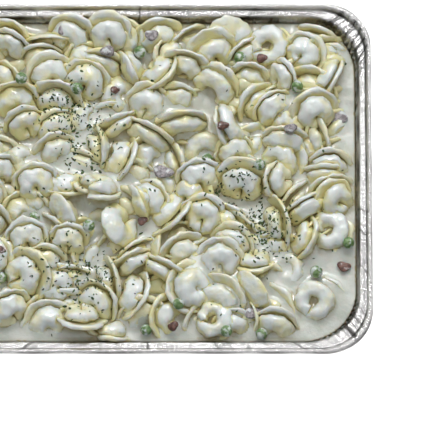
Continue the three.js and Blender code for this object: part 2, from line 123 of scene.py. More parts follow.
def draw(n):
    """Repeatable draw between 0 and 1."""
    value = math.sin(n * 127.1 + 311.7) * 43758.5453
    return value - math.floor(value)


def smoothstep(x, low, high):
    t = np.clip((x - low) / (high - low), 0, 1)
    return t * t * (3 - 2 * t)


def grid_faces(rows, columns, closed):
    """Quads between neighbouring rows of points; closed joins the last column to the first."""
    row = np.arange(rows - 1)[:, None] * columns
    column = np.arange(columns if closed else columns - 1)[None, :]
    here = row + column
    beside = row + (column + 1) % columns
    return np.stack([here, beside, beside + columns, here + columns], -1).reshape(-1, 4)


def corner_of(ring):
    inset, _, radius = ring
    return TRAY_LONG / 2 - inset - radius, TRAY_SHORT / 2 - inset - radius


def outline_distance(x, y, ring):
    """Distance out of the rounded rectangle (negative inside) and the unit way out."""
    corner_x, corner_y = corner_of(ring)
    past_x, past_y = np.abs(x) - corner_x, np.abs(y) - corner_y
    in_arc = (past_x > 0) & (past_y > 0)
    length = np.hypot(past_x, past_y) + 1e-9
    way_x = np.where(in_arc, past_x / length, past_x > past_y) * np.sign(x)
    way_y = np.where(in_arc, past_y / length, past_x <= past_y) * np.sign(y)
    distance = np.where(in_arc, length, np.maximum(past_x, past_y)) - ring[2]
    return distance, way_x, way_y


def add_mesh(name, points, faces, material, replaced=(), slot=None, attributes=None):
    mesh = bpy.data.meshes.new(name)
    mesh.from_pydata((np.asarray(points) * MM).tolist(), [], faces)
    mesh.polygons.foreach_set("use_smooth", np.ones(len(mesh.polygons), bool))
    for label, values in (attributes or {}).items():
        layer = mesh.attributes.new(label, "FLOAT", "POINT")
        layer.data.foreach_set("value", np.asarray(values, np.float32).ravel())
    mesh.materials.append(material)
    mesh.update()
    obj = bpy.data.objects.new(name, mesh)
    bpy.context.collection.objects.link(obj)
    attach(obj, "root")
    if replaced:
        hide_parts(*replaced)
    return obj


# ---- One tortellino ---------------------------------------------------------
# Filled dough bent into a ring: a round belly with a brim that flares from it like a hat's.


class Form:
    """A hat has a small ring and a wide brim, and a plain ring the other way round."""

    def __init__(self, seed, is_ring):
        grow = 1 + 0.36 * draw(seed)
        self.ring = (8 if is_ring else 5.2) * grow
        self.belly = (5.2 if is_ring else 6.1) * grow
        self.brim = (6.5 if is_ring else 8.8 + 3.4 * draw(seed + 0.23)) * grow
        self.curl = math.radians((76 if is_ring else 105) + 35 * draw(seed + 0.31))
        self.bend = BEND
        self.wave = 0.6 + 2 * draw(seed + 0.57)
        self.phase = TURN * draw(seed + 0.83)


def fullness(form, u):
    """Belly, brim and ring: full at the front (u = 0) and small at the pinched ends."""
    front = np.clip(np.cos(math.pi * np.asarray(u, float) / 2), 0, None)
    belly = BELLY_END + (form.belly - BELLY_END) * front ** 0.6
    brim = 1 + (form.brim - 1) * front ** 0.6
    return belly, brim, form.ring * (0.8 + 0.2 * front)


def brim_line(form, belly, along):
    """Middle line of the section: up through the belly, round a bend, then out along the brim."""
    straight = 1.25 * belly
    angle = np.minimum(form.curl, np.maximum(0, along - straight) / form.bend)
    past = np.maximum(0, along - straight - angle * form.bend)
    out = form.bend * (1 - np.cos(angle)) + past * np.sin(angle)
    up = np.minimum(along, straight) - belly + form.bend * np.sin(angle) + past * np.cos(angle)
    return out, up, angle


def half_thickness(belly, length, along):
    rounded = np.sqrt(np.maximum(0, belly ** 2 - (along - belly) ** 2))
    tip = np.maximum(0, along - length + HALF_DOUGH) / HALF_DOUGH
    dough = np.cbrt(rounded ** 3 + HALF_DOUGH ** 3) * np.sqrt(np.maximum(0, 1 - tip ** 2))
    return np.where(along <= belly, rounded, dough)


def skin(form, u, share, side):
    """Points of the skin: u runs around the ring, share from the belly's foot to the brim's tip."""
    belly, brim, ring = fullness(form, u)
    length = 2 * belly + brim
    out, up, tilt = brim_line(form, belly, share * length)
    half = side * half_thickness(belly, length, share * length)
    pinch = smoothstep(np.abs(u), 0.7, 1)
    slip = pinch * np.where(u > 0, 1.4, -0.6)
    lift = pinch * np.where(u > 0, 1.2, -1.2)
    sway = form.wave * share ** 2 * np.sin(4 * u + form.phase)
    reach = ring + slip + out + half * np.cos(tilt)
    angle = np.radians(u * RING_SPAN)
    height = up - half * np.sin(tilt) + lift + sway
    return np.stack([reach * np.cos(angle), reach * np.sin(angle), height], -1)


def tortellino(piece, stations, corners):
    """Points and the share of the way to the brim's tip, for one piece in its place."""
    u = np.linspace(-1, 1, stations + 1)[:, None] + np.zeros((1, corners))
    turn = np.arange(corners)[None, :] / corners + np.zeros((stations + 1, 1))
    share = 0.5 - 0.5 * np.cos(2 * math.pi * turn)
    side = np.where(turn < 0.5, -0.85, 1.15)
    points = skin(piece.form, u, share, side).reshape(-1, 3)
    points = points + knead(points, piece.seed)
    return points @ piece.turn.T + piece.at, share.ravel()


def knead(points, seed):
    """Small uneven dents and swellings, as hand-folded dough has."""
    phase = TURN * draw(seed + 3.3)
    x, y, z = points.T
    swell = np.sin(0.55 * x + phase) * np.sin(0.6 * y + 2 * phase)
    swell = swell + np.sin(0.5 * z + 0.4 * x + phase)
    crinkle = np.sin(1.3 * x + 0.7 * z + 3 * phase) * np.sin(1.1 * y - 0.8 * z + phase)
    outward = points / (np.linalg.norm(points, axis=1, keepdims=True) + 1e-6)
    return (0.75 * swell + 0.3 * crinkle)[:, None] * outward


# ---- Where the tortellini lie -----------------------------------------------
# Each row gives x, y, then the turn in degrees (the way the ring's front points, the lean
# and the spin) and 1 for a plain ring.

CLUSTER = [
    (0, 0, 80, 132, 180, 0),
    (-4, 22, 115, 145, 180, 0),
    (-2, 49, 92, 102, 180, 0),
    (25, 56, 125, 125, 180, 0),
    (46, 56, 65, 155, 180, 0),
    (31, 32, 80, 105, 190, 1),
    (51, 34, 200, 95, 90, 0),
    (69, 26, -40, 128, 180, 0),
    (90, 30, 75, 120, 180, 0),
    (-30, 1, 100, 140, 180, 0),
    (86, 4, 95, 122, 180, 0),
    (90, -16, 100, 100, 200, 1),
    (-22, -15, 112, 128, 180, 0),
    (47, -15, 120, 96, 160, 1),
    (66, -22, 60, 95, 200, 1),
    (26, -29, 10, 110, 150, 0),
    (43, -38, -20, 128, 180, 0),
    (-40, -52, 120, 130, 180, 0),
    (-14, -60, 95, 150, 180, 0),
    (8, -54, -90, 134, 180, 0),
    (6, -80, 215, 75, 180, 0),
    (27, -62, 250, 120, 20, 0),
]

CLUSTER_PLACES = [(-64, 55), (68.5, -4.5), (-54, -48)]

# Sauce with no pasta just under it, from each cluster's place, and how wide that is.
BARE_X, BARE_Y, BARE_REACH = 12, -22, 13

LONE = [
    (60, 107, -80, 30, 180, 0),
    (87, 107, 20, 168, 180, 1),
    (74, 75, 80, 128, 180, 0),
    (97, 77, 30, 118, 150, 0),
    (113, 97, 60, 158, 200, 0),
    (128, 81, -30, 110, 150, 1),
    (42, 82, 100, 130, 180, 0),
    (22, 86, 140, 135, 180, 0),
    (-99, 100, 60, 110, 160, 0),
    (127, -1, 90, 96, 180, 1),
    (143, -11, 105, 135, 180, 0),
    (122, 30, 20, 100, 130, 0),
    (63, 43, 200, 120, 90, 1),
    (48, -106, 5, 174, 180, 1),
    (137, -37, 5, 172, 180, 1),
]

# Pieces that stand in the open sauce, with the height of their tops at the end.
POOL_PIECES = [
    (120, -89, 60, 166, 180, 1, 59.5),
    (101, -66, 20, 168, 180, 1, 57),
    (140, -99, 60, 150, 180, 0, 60),
]

# The open sauce, as centre, half sizes and turn of an oval.
POOL_X, POOL_Y = 117, -88
POOL_HALF_X, POOL_HALF_Y = 34, 38
POOL_TURN = math.radians(-12)


def pool_reach(x, y, grow=0):
    """Below 1 inside the open sauce."""
    along_x = (x - POOL_X) * math.cos(POOL_TURN) + (y - POOL_Y) * math.sin(POOL_TURN)
    along_y = (y - POOL_Y) * math.cos(POOL_TURN) - (x - POOL_X) * math.sin(POOL_TURN)
    return (along_x / (POOL_HALF_X + grow)) ** 2 + (along_y / (POOL_HALF_Y + grow)) ** 2


def is_bare(x, y):
    middles = [(at_x + BARE_X, at_y + BARE_Y) for at_x, at_y in CLUSTER_PLACES]
    return any(math.hypot(x - mid_x, y - mid_y) < BARE_REACH for mid_x, mid_y in middles)


def clear_of(pieces, x, y, distance):
    return all(math.hypot(p.x - x, p.y - y) >= distance for p in pieces)


def placeable(x, y):
    past_x, past_y = max(0, abs(x) - CORNER_X), max(0, abs(y) - CORNER_Y)
    inside_x = abs(x) <= TRAY_LONG / 2 - PASTA_MARGIN
    inside_y = abs(y) <= TRAY_SHORT / 2 - PASTA_MARGIN
    return inside_x and inside_y and math.hypot(past_x, past_y) <= CORNER_REACH


def turned(axis, degrees):
    cos, sin = math.cos(math.radians(degrees)), math.sin(math.radians(degrees))
    if axis == "z":
        return np.array([[cos, -sin, 0], [sin, cos, 0], [0, 0, 1.0]])
    return np.array([[cos, 0, sin], [0, 1, 0], [-sin, 0, cos]])


class Piece:
    """One tortellino: its form, its turn and the balls that stand in for it in the heap."""

    def __init__(self, x, y, toward, lean, spin, is_ring, seed, top):
        self.x, self.y, self.seed = x, y, seed
        self.form = Form(seed, is_ring)
        self.turn = turned("z", toward) @ turned("y", lean) @ turned("z", spin)
        self.centres, self.radii = self.balls()
        above = (self.centres[:, 2] + self.radii).max()
        below = (self.centres[:, 2] - self.radii).min()
        height = min(top - above, SAUCE_LEVEL - PASTA_SINK - below)
        self.home = np.array([x, y, height], float)
        self.at = self.home.copy()

    def keep_off_the_wall(self):
        """Moves the piece in until its deepest ball is clear of the sloping foil."""
        x, y, z = (self.centres + self.at).T
        inset = np.interp(z, WALL_HEIGHTS, WALL_INSETS) + self.radii + WALL_GAP
        distance, way_x, way_y = outline_distance(x, y, (inset, z, WALL_CORNER))
        deepest = distance.argmax()
        if distance[deepest] > 0:
            self.at -= distance[deepest] * np.array([way_x[deepest], way_y[deepest], 0])

    def balls(self):
        ring_u = np.array([-0.8, -0.4, 0, 0.4, 0.8])
        belly, _, ring = fullness(self.form, ring_u)
        angle = np.radians(ring_u * SETTLE_SPAN)
        body = np.stack([ring * np.cos(angle), ring * np.sin(angle), 0 * ring], -1)
        brim_u = ring_u[1:4]
        brim_belly, brim, brim_ring = fullness(self.form, brim_u)
        out, up, _ = brim_line(self.form, brim_belly, 2 * brim_belly + 0.8 * brim)
        angle = np.radians(brim_u * SETTLE_SPAN)
        reach = brim_ring + out
        edge = np.stack([reach * np.cos(angle), reach * np.sin(angle), up], -1)
        centres = np.concatenate([body, edge]) @ self.turn.T
        return centres, np.concatenate([0.95 * belly, [2, 2, 2]])


def top_height(x, y, seed):
    """Height of a piece's top: uneven in the middle and lower towards the foil."""
    edge = max(abs(x) / (TRAY_LONG / 2), abs(y) / (TRAY_SHORT / 2))
    height = TOP_HEIGHT + TOP_SPREAD * (draw(seed + 0.17) - 0.5)
    return height - EDGE_DROP * smoothstep(edge, 0.76, 0.9)


def add_rows(pieces, rows, shift, spacing):
    for x, y, toward, lean, spin, is_ring in rows:
        x, y = x + shift[0], y + shift[1]
        seed = len(pieces) + 1
        if placeable(x, y) and pool_reach(x, y) >= 1 and clear_of(pieces, x, y, spacing):
            top = top_height(x, y, seed)
            pieces.append(Piece(x, y, toward, lean, spin, is_ring, seed, top))


def random_turn(seed):
    """Most pieces lie belly up; a few show the hollow side of the brim."""
    if draw(seed + 0.63) < BELLY_UP_SHARE:
        lean = 95 + 70 * draw(seed + 0.71)
    else:
        lean = 15 + 40 * draw(seed + 0.71)
    is_ring = draw(seed + 0.91) < RING_SHARE
    return 10 + 160 * draw(seed + 0.41), lean, 180 + 60 * (draw(seed + 0.77) - 0.5), is_ring


def filler_turn(seed):
    """Lower pieces show their round bellies."""
    toward = 30 + 120 * draw(seed + 0.41)
    return toward, 105 + 45 * draw(seed + 0.71), 180 + 60 * (draw(seed + 0.77) - 0.5), False


def scattered(base, grow=4):
    """Scattered points all over the food."""
    for n in range(SCATTER_TRIES):
        x = (draw(base + n) - 0.5) * TRAY_LONG
        y = (draw(base + n + 0.5) - 0.5) * TRAY_SHORT
        if placeable(x, y) and pool_reach(x, y, grow) >= 1 and not is_bare(x, y):
            yield x, y


def deepest_overlap(one, two):
    apart = (one.centres + one.at)[:, None] - (two.centres + two.at)[None]
    distance = np.sqrt((apart ** 2).sum(-1))
    depth = one.radii[:, None] + two.radii[None] - SETTLE_SLACK - distance
    i, j = np.unravel_index(depth.argmax(), depth.shape)
    return depth[i, j], apart[i, j] / distance[i, j]


def settle(pieces, fixed=0):
    """Neighbours push each other apart while each is drawn back to its own place."""
    for _ in range(SETTLE_ROUNDS):
        for i in range(fixed, len(pieces)):
            one = pieces[i]
            for j in range(i):
                two = pieces[j]
                if math.hypot(*(one.at - two.at)[:2]) >= SETTLE_REACH:
                    continue
                depth, direction = deepest_overlap(one, two)
                if depth > 0:
                    one.at += SETTLE_PUSH * depth * direction
                    if j >= fixed:
                        two.at -= SETTLE_PUSH * depth * direction
        for piece in pieces[fixed:]:
            piece.at += SETTLE_RETURN * (piece.home - piece.at)
            piece.keep_off_the_wall()


def lay_pasta():
    """Rows that follow the heap, scattered pieces between them, then lower ones in the gaps."""
    pieces = [Piece(*row[:6], POOL_SEED + i, row[6]) for i, row in enumerate(POOL_PIECES)]
    add_rows(pieces, CLUSTER, CLUSTER_PLACES[0], ROW_SPACING)
    add_rows(pieces, LONE, (0, 0), ROW_SPACING)
    add_rows(pieces, CLUSTER, CLUSTER_PLACES[1], REPEAT_SPACING)
    add_rows(pieces, CLUSTER, CLUSTER_PLACES[2], REPEAT_SPACING)
    for x, y in scattered(SCATTER_SEED):
        if clear_of(pieces, x, y, PASTA_SPACING):
            seed = SCATTER_SEED + len(pieces)
            pieces.append(Piece(x, y, *random_turn(seed), seed, top_height(x, y, seed)))
    under = []
    for x, y in scattered(UNDER_SEED):
        if clear_of(pieces, x, y, UNDER_CLEARANCE) and clear_of(under, x, y, UNDER_SPACING):
            seed = UNDER_SEED + len(under)
            under.append(Piece(x, y, *random_turn(seed), seed, UNDER_HEIGHT + 3 * draw(seed)))
    pieces += under
    settle(pieces)
    return pieces


def lay_fillers(pieces):
    """Lower pieces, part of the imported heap, that show through the gaps of the top layer."""
    fillers = []
    for x, y in scattered(FILLER_SEED, 2):
        if clear_of(pieces, x, y, FILLER_CLEARANCE) and clear_of(fillers, x, y, FILLER_SPACING):
            seed = FILLER_SEED + len(fillers)
            top = FILLER_HEIGHT + 3 * draw(seed)
            fillers.append(Piece(x, y, *filler_turn(seed), seed, top))
    settle(pieces + fillers, len(pieces))
    return fillers


# ---- Surfaces ---------------------------------------------------------------


def heap_mesh(pieces, stations, corners):
    """All pieces as one mesh: points, faces, brim share and a tone for each piece."""
    faces = grid_faces(stations + 1, corners, True)
    caps = [list(range(corners))[::-1], list(range(stations * corners, (stations + 1) * corners))]
    points, quads, ends, shares, tones = [], [], [], [], []
    for i, piece in enumerate(pieces):
        skin_points, share = tortellino(piece, stations, corners)
        first = i * len(skin_points)
        points.append(skin_points)
        quads.append(faces + first)
        ends += [[first + v for v in cap] for cap in caps]
        shares.append(share)
        tones.append(np.full(len(share), draw(piece.seed + 5.5)))
    all_faces = np.concatenate(quads).tolist() + ends
    return np.concatenate(points), all_faces, np.concatenate(shares), np.concatenate(tones)


def tree_of(*meshes):
    points, faces, first = [], [], 0
    for mesh_points, mesh_faces in meshes:
        points += mesh_points.tolist()
        faces += [[first + v for v in face] for face in mesh_faces]
        first += len(mesh_points)
    return BVHTree.FromPolygons(points, faces)


def look_down(tree, x, y):
    """Height and normal of the highest surface at x, y."""
    place, normal, _, _ = tree.ray_cast(Vector((x, y, ABOVE_ALL)), Vector((0, 0, -1)))
    return (place.z, normal) if place else (None, None)


def shelter(tree, points, normals, deepest):
    """Share of the sky that food nearby hides from each point, 0 to 1."""
    slanted = [(0.75 * math.cos(a), 0.75 * math.sin(a), 0.66) for a in np.arange(6) * math.pi / 3]
    ways = [Vector(way).normalized() for way in [(0, 0, 1)] + slanted]
    hidden = np.ones(len(points))
    for i in np.flatnonzero(points[:, 2] > deepest):
        start = Vector(points[i]) + 0.35 * Vector(normals[i])
        total = 0
        for way in ways:
            _, _, _, distance = tree.ray_cast(start, way, SHELTER_REACH)
            total += 0 if distance is None else 1 - 0.8 * distance / SHELTER_REACH
        hidden[i] = total / len(ways)
    return hidden


def point_normals(points, faces):
    """Unit normal at each point, from the faces around it."""
    normals = np.zeros_like(points)
    for face in faces:
        corners = points[face]
        normals[face] += np.cross(corners[1] - corners[0], corners[2] - corners[0])
    return normals / (np.linalg.norm(normals, axis=1, keepdims=True) + 1e-9)


def blurred(field, sigma_cells):
    reach = int(3 * sigma_cells) + 1
    kernel = np.exp(-0.5 * (np.arange(-reach, reach + 1) / sigma_cells) ** 2)
    kernel /= kernel.sum()
    padded = np.pad(field, reach, mode="edge")
    padded = np.apply_along_axis(np.convolve, 0, padded, kernel, "valid")
    return np.apply_along_axis(np.convolve, 1, padded, kernel, "valid")


class Field:
    """Values on a square grid over the tray."""

    def __init__(self, step):
        self.step = step
        self.x = np.arange(-TRAY_LONG / 2, TRAY_LONG / 2 + step, step)
        self.y = np.arange(-TRAY_SHORT / 2, TRAY_SHORT / 2 + step, step)
        self.grid_x, self.grid_y = np.meshgrid(self.x, self.y, indexing="ij")


def wobble(x, y, scale, seed):
    """Smooth uneven field between about -1 and 1."""
    total = 0
    for k in range(5):
        angle = TURN * draw(seed + k)
        stretch = (0.7 + 0.9 * draw(seed + k + 0.5)) / scale * TURN
        along = x * math.cos(angle) + y * math.sin(angle)
        total = total + np.sin(along * stretch + 7 * draw(seed + 2 * k))
    return total / 3


# ---- Cream sauce ------------------------------------------------------------

# Places where the sauce lies thick over the pasta: x, y and radius.
THICK_SAUCE = [
    (22, 55, 26), (30, 40, 20), (-2, -105, 18), (62, -86, 24), (-62, -4, 18),
    (-20, -4, 20), (40, -70, 20), (-112, 60, 18), (100, 60, 16), (-118, -70, 22),
]


def thick_share(x, y):
    share = smoothstep(1.5 - pool_reach(x, y), 0, 0.7)
    for at_x, at_y, radius in THICK_SAUCE:
        share = np.maximum(share, np.exp(-((x - at_x) ** 2 + (y - at_y) ** 2) / radius ** 2))
    return share


def sauce_heights(field, tree):
    """Sauce surface: fills the crevices, lies thick in places and climbs a little at each piece."""
    pasta = np.full(field.grid_x.shape, LOWEST_SAUCE)
    for i, x in enumerate(field.x):
        for j, y in enumerate(field.y):
            height, _ = look_down(tree, x, y)
            if height is not None:
                pasta[i, j] = max(LOWEST_SAUCE, height)
    thick = thick_share(field.grid_x, field.grid_y)
    offset = 9.6 - 8.4 * thick + 1.2 * wobble(field.grid_x, field.grid_y, 40, 61)
    sauce = blurred(pasta, 6 / field.step) - offset
    pool = smoothstep(1.25 - pool_reach(field.grid_x, field.grid_y), 0, 0.5)
    level = SAUCE_LEVEL + 0.4 * wobble(field.grid_x, field.grid_y, 60, 71)
    sauce = np.maximum(sauce, level) * (1 - pool) + level * pool
    covered = blurred((pasta > sauce).astype(float), 1.4 / field.step)
    sauce = sauce + 1.6 * covered
    return blurred(sauce, 1.0 / field.step)


# Room inside the tray as inset, height and corner radius, from the level of the sauce down.
SAUCE_ROOM = [(11.6, 53.4, 38), (17.2, 32.4, 34), (24.5, 4.5, 30), (26.4, 2.0, 28), (30.5, 1.1, 25)]


def on_ring(x, y, old, new):
    """The point of the new rounded rectangle that matches one on the old."""
    old_x, old_y = corner_of(old)
    new_x, new_y = corner_of(new)
    past_x, past_y = np.maximum(0, np.abs(x) - old_x), np.maximum(0, np.abs(y) - old_y)
    moved_x = np.minimum(np.abs(x), old_x) / old_x * new_x + past_x / old[2] * new[2]
    moved_y = np.minimum(np.abs(y), old_y) / old_y * new_y + past_y / old[2] * new[2]
    return np.sign(x) * moved_x, np.sign(y) * moved_y


def boundary_loop(faces):
    """The closed line of vertices around a sheet of faces."""
    edges = [(v, face[(k + 1) % 4]) for face in faces for k, v in enumerate(face)]
    known = set(edges)
    ahead = {a: b for a, b in edges if (b, a) not in known}
    loop = [next(iter(ahead))]
    while ahead[loop[-1]] != loop[0]:
        loop.append(ahead[loop[-1]])
    return loop


def sauce_mesh(field, heights):
    room = tuple(np.add(SAUCE_ROOM[0], (SAUCE_GAP, 0, 0)))
    distance, way_x, way_y = outline_distance(field.grid_x, field.grid_y, room)
    kept = distance < 0.6 * field.step
    pull = np.where(distance > -0.35 * field.step, distance, 0)
    x = field.grid_x - pull * way_x
    y = field.grid_y - pull * way_y
    rows, columns = kept.shape
    quads = grid_faces(rows, columns, False)
    quads = quads[kept.ravel()[quads].all(1)][:, ::-1]
    used = np.unique(quads)
    number = np.full(kept.size, -1)
    number[used] = np.arange(len(used))
    points = np.stack([x.ravel(), y.ravel(), heights.ravel()], -1)[used]
    quads = number[quads].tolist()
    loop = boundary_loop(quads)
    edge = points[loop]
    rows_down, faces_down = [], []
    above = loop
    for ring in SAUCE_ROOM[1:]:
        lower = tuple(np.add(ring, (SAUCE_GAP, 0, 0)))
        low_x, low_y = on_ring(edge[:, 0], edge[:, 1], room, lower)
        first = len(points) + sum(len(r) for r in rows_down)
        rows_down.append(np.stack([low_x, low_y, np.full(len(loop), lower[1])], -1))
        below = list(range(first, first + len(loop)))
        for k in range(len(loop)):
            after = (k + 1) % len(loop)
            faces_down.append([above[after], above[k], below[k], below[after]])
        above = below
    return np.concatenate([points] + rows_down), quads + faces_down + [above]


# ---- Foil tray --------------------------------------------------------------
# The sheet's section as inset, height and corner radius: inside up, over the bead, outside down.

INSIDE = [
    (60, FOIL, 12), (30.5, FOIL, 25), (26.4, FOIL + 1.1, 28), (24.5, 4.5, 30), (20.8, 18, 32),
    (17.2, 32.4, 34), (13.8, 45, 36), (11.5, 53.6, 37), (9.8, 60.2, 38), (8.8, LEDGE_Z - 0.4, 38),
    (7.4, LEDGE_Z, 36.5), (5.9, LEDGE_Z + 0.05, 35), (4.4, LEDGE_Z, 34), (3.9, 63.2, 34),
    (2.9, 64.5, 33.5),
]
OUTSIDE = [
    (2, TRAY_HEIGHT, 33), (1.3, TRAY_HEIGHT - 0.2, 33), (0.3, 64, 33), (0, 63, 33), (0.2, 62.1, 33),
    (1.4, TRAY_HEIGHT - BEAD, 33.5), (BEAD, LEDGE_Z - FOIL, 34), (6.2, LEDGE_Z - FOIL, 35.5),
    (8.4, LEDGE_Z - FOIL - 0.3, 38), (9.2, 59.6, 38), (12.6, 46, 36), (16.4, 32.2, 34),
    (20.2, 18, 32), (23.7, 4.2, 30), (25.8, 1, 28), (30.5, 0, 25), (60, 0, 12),
]


def softened(rows, times):
    """Cuts the corners of a line, again and again."""
    rows = np.asarray(rows, float)
    for _ in range(times):
        near = 0.75 * rows[:-1] + 0.25 * rows[1:]
        far = 0.25 * rows[:-1] + 0.75 * rows[1:]
        cut = np.stack([near, far], 1).reshape(-1, rows.shape[1])
        rows = np.concatenate([rows[:1], cut, rows[-1:]])
    return rows


def foil_ring(inset, height, radius, columns_per_mm):
    """Points of one rounded rectangle with the way out at each."""
    corner_x, corner_y = corner_of((inset, height, radius))
    full_x, full_y = corner_of((0, height, FOIL_CORNER))
    steps_x = int(2 * full_x * columns_per_mm)
    steps_y = int(2 * full_y * columns_per_mm)
    steps_arc = int(FOIL_CORNER * math.pi / 2 * columns_per_mm * 1.4)
    rows, ways = [], []
    for quarter in range(4):
        start = quarter * math.pi / 2
        side_x = 1 if quarter in (0, 3) else -1
        side_y = 1 if quarter < 2 else -1
        angle = start + np.arange(steps_arc) / steps_arc * math.pi / 2
        way = np.stack([np.cos(angle), np.sin(angle)], -1)
        rows.append(np.array([side_x * corner_x, side_y * corner_y]) + radius * way)
        ways.append(way)
        steps = steps_x if quarter % 2 == 0 else steps_y
        end = start + math.pi / 2
        flat = np.array([math.cos(end), math.sin(end)])
        share = (np.arange(steps) / steps)[:, None]
        if quarter % 2 == 0:
            line = [side_x * corner_x * (1 - 2 * share), 0 * share + side_y * corner_y]
        else:
            line = [0 * share + side_x * corner_x, side_y * corner_y * (1 - 2 * share)]
        rows.append(np.concatenate(line, 1) + radius * flat)
        ways.append(np.repeat(flat[None], steps, 0))
    outline = np.concatenate(rows)
    points = np.column_stack([outline, np.full(len(outline), height)])
    return points, np.concatenate(ways)


def corner_share(ways):
    """1 in the middle of a rounded corner, 0 along the straight sides."""
    return np.clip(2.64 * np.abs(ways[:, 0] * ways[:, 1]), 0, 1)


def creases(around, total, height, count, seed):
    """Random narrow folds, each at its own place around the tray and slanting a little."""
    value = np.zeros_like(around)
    for k in range(count):
        place = total * draw(seed + 1.3 * k)
        slant = 0.16 * (draw(seed + 1.3 * k + 0.4) - 0.5)
        width = 0.9 + 1.5 * draw(seed + 1.3 * k + 0.7)
        strength = 1.5 * draw(seed + 1.3 * k + 0.9) - 0.5
        offset = around - place - slant * (height - 40)
        offset = (offset + total / 2) % total - total / 2
        value += strength * np.clip(1 - np.abs(offset) / width, 0, None)
    return value


def dark_lines(inset, height, around, total, corner):
    """Share of painted shade in the foil: beside the bead, under the ledge and in creases, stronger
    and weaker along the rim.
    """
    if height < 58:
        return np.zeros_like(around)
    beside_bead = math.exp(-((inset - 4.1) / 0.5) ** 2) + math.exp(-((inset - 0.1) / 0.7) ** 2)
    under_ledge = float(smoothstep(inset, 8.2, 9.4))
    crease = np.abs(creases(around, total, 6 * height, 130, 83)) * smoothstep(corner, 0, 0.5)
    crease = crease + 0.7 * np.abs(creases(around, total, 6 * height, 60, 57))
    # the painted shade beside the bead and under the ledge grows and fades along the rim
    shade_strength = 0.65 + 0.35 * np.sin(around / 7 + 2 * np.sin(around / 31))
    return np.clip((beside_bead + under_ledge) * shade_strength + 1.3 * crease * (inset > 2.5), 0, 1)


def foil_mesh():
    section = softened(INSIDE + OUTSIDE, 1)
    rings = [foil_ring(*row, FOIL_COLUMNS_PER_MM) for row in section]
    points = np.stack([ring[0] for ring in rings])
    ways = rings[0][1]
    rim = points[len(INSIDE)]
    steps = np.linalg.norm(np.roll(rim, -1, 0) - rim, axis=1)
    around = np.concatenate([[0], np.cumsum(steps)[:-1]])
    total = steps.sum()
    corner = corner_share(ways)
    tilted = np.abs(ways[:, 0]) + smoothstep(rim[:, 0], 60, 110) * np.clip(ways[:, 1], 0, 1)
    dark = []
    for row, (inset, height, _) in enumerate(section):
        wall = smoothstep(height, 6, 20) * (1 - smoothstep(height, 58, 61))
        ledge = smoothstep(inset, 4.2, 5.2) * (1 - smoothstep(inset, 8.2, 9.6)) * (height > 58)
        bead = 1 - smoothstep(inset, 3.2, 4.6)
        fold = creases(around, total, height, 260, 11)
        pleat = np.sin(around * TURN / 4.2 + 1.5 * np.sin(around / 9))
        out = wall * (0.9 * fold * (1 - corner) + 0.9 * corner * pleat)
        up = ledge * (0.45 * fold * (1 - corner) + 0.7 * corner * pleat)
        up = up + ledge * 0.16 * (inset - 6.5) * np.clip(tilted, 0, 1)
        up = up + bead * 0.12 * np.sin(around * TURN / 2.6) * (0.3 + corner)
        points[row, :, :2] += out[:, None] * ways
        points[row, :, 2] += up
        # share of painted shade for each row of the foil, kept as the dark attribute
        dark.append(dark_lines(inset, height, around, total, corner))
    rows, columns = points.shape[:2]
    faces = grid_faces(rows, columns, True)[:, ::-1].tolist()
    faces.append(list(range(columns)))
    faces.append(list(range((rows - 1) * columns, rows * columns))[::-1])
    along = np.repeat(np.arange(rows) * 2.0, columns)
    marks = {"around": np.tile(around, rows), "along": along, "dark": np.concatenate(dark)}
    return points.reshape(-1, 3), faces, marks


# ---- Toppings ---------------------------------------------------------------


def centre_of(node):
    low, high = node_box(node)
    return (low + high) / 2, (high - low) / 2


def ball_angles(rings, columns):
    """Angle down from the top pole, for each ring, and angle around, for each column."""
    down = np.linspace(0, math.pi, rings + 1)[1:-1, None]
    return down, np.arange(columns)[None] / columns * 6.283


def with_poles(out, up, angle):
    """Points at a distance out and up for each ring and angle, between the two poles."""
    way = np.stack([out * np.cos(angle), out * np.sin(angle), up + 0 * angle], -1).reshape(-1, 3)
    return np.concatenate([[[0, 0, 1.0]], way, [[0, 0, -1.0]]])


def ball_faces(rings, columns):
    faces = (grid_faces(rings - 1, columns, True) + 1)[:, ::-1].tolist()
    low = 1 + (rings - 2) * columns
    last = low + columns
    faces += [[0, 1 + k, 1 + (k + 1) % columns] for k in range(columns)]
    faces += [[last, low + (k + 1) % columns, low + k] for k in range(columns)]
    return faces


def pea_points(node, seed, rings=14, columns=20):
    """A slightly wrinkled ball with a small dimple."""
    centre, half = centre_of(node)
    polar, angle = ball_angles(rings, columns)
    way = with_poles(np.sin(polar), np.cos(polar), angle)
    spin = turned("z", 360 * draw(seed)) @ turned("y", 50 * draw(seed + 0.4))
    dent = 0.1 * np.exp(-((way - np.array([0.5, 0.3, 0.8])) ** 2).sum(1) / 0.12)
    ripple = 0.025 * np.sin(5 * way[:, 0] + 9 * draw(seed)) * np.sin(6 * way[:, 1] + 2)
    points = (way * (1 - dent + ripple)[:, None]) @ spin.T * half.mean() + centre
    return points, ball_faces(rings, columns)


def slice_points(node, seed, rings=9, columns=18):
    """A cooked scrap with soft uneven edges, flat or folded a little."""
    centre, half = centre_of(node)
    polar, angle = ball_angles(rings, columns)
    lobes = 1 + 0.1 * np.sin(2 * angle + 9 * draw(seed))
    lobes = lobes + 0.13 * np.sin(3 * angle + 7 * draw(seed + 0.2))
    flat = np.sign(np.cos(polar)) * np.abs(np.cos(polar)) ** 0.7
    way = with_poles(np.sin(polar) ** 0.35 * lobes, flat, angle)
    fold = 0.35 * np.sin(2.2 * way[:, 0] + 6 * draw(seed + 0.6))
    way[:, 2] += fold
    points = way * half * np.array([1, 1, 0.85]) + centre
    return points, ball_faces(rings, columns)


def add_toppings(prefix, shape, material, slot):
    names = sorted(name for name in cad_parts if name.startswith(prefix + "_"))
    for i, node in enumerate(names):
        points, faces = shape(node, i + 10 * len(prefix))
        add_mesh(node + "_look", points, faces, material, [node], slot)


